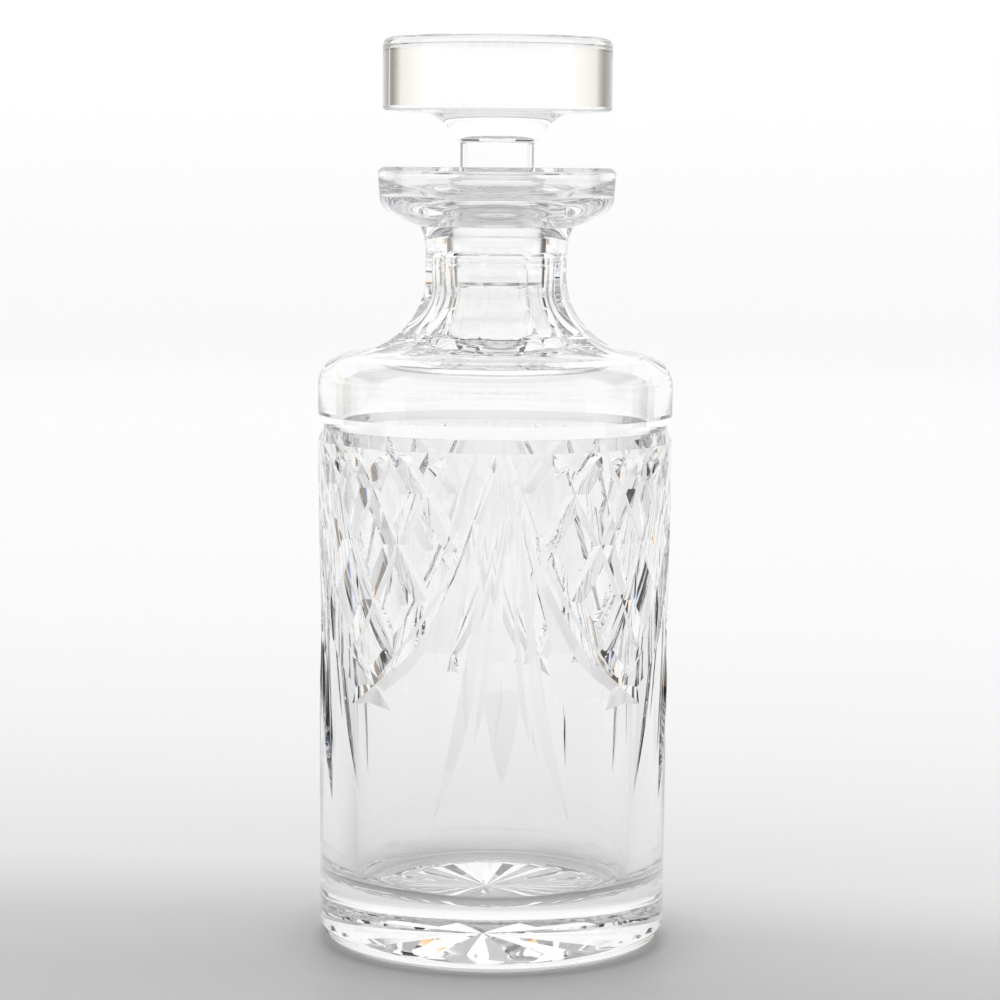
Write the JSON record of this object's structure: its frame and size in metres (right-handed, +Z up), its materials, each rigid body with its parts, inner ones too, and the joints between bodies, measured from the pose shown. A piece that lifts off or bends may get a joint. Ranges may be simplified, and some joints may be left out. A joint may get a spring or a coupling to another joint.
{
  "type": "decanter",
  "caption": "Round cut-crystal decanter with a fluted neck, a cupped lip, lattice and spray cuts, a star-cut base and a solid disc stopper that lifts out.",
  "frame": {"origin": "centre of the base, on the surface that the bottle stands on", "axes": "+Z up along the bottle's axis, towards the stopper; -Y faces the viewer, with one spray of cuts near the middle"},
  "size_m": [0.098, 0.098, 0.25],
  "materials": {
    "cut_crystal": "polished cut lead crystal, colourless",
    "stopper_crystal": "polished solid crystal with a finely ground peg, colourless"
  },
  "bodies": {
    "bottle": {"bottle": "cut_crystal"},
    "stopper": {"stopper": "stopper_crystal"}
  },
  "joints": [
    {"name": "stopper_lift", "type": "slide", "parent": "bottle", "child": "stopper", "axis": [0, 0, 1], "range_m": [0, 0.05]}
  ]
}
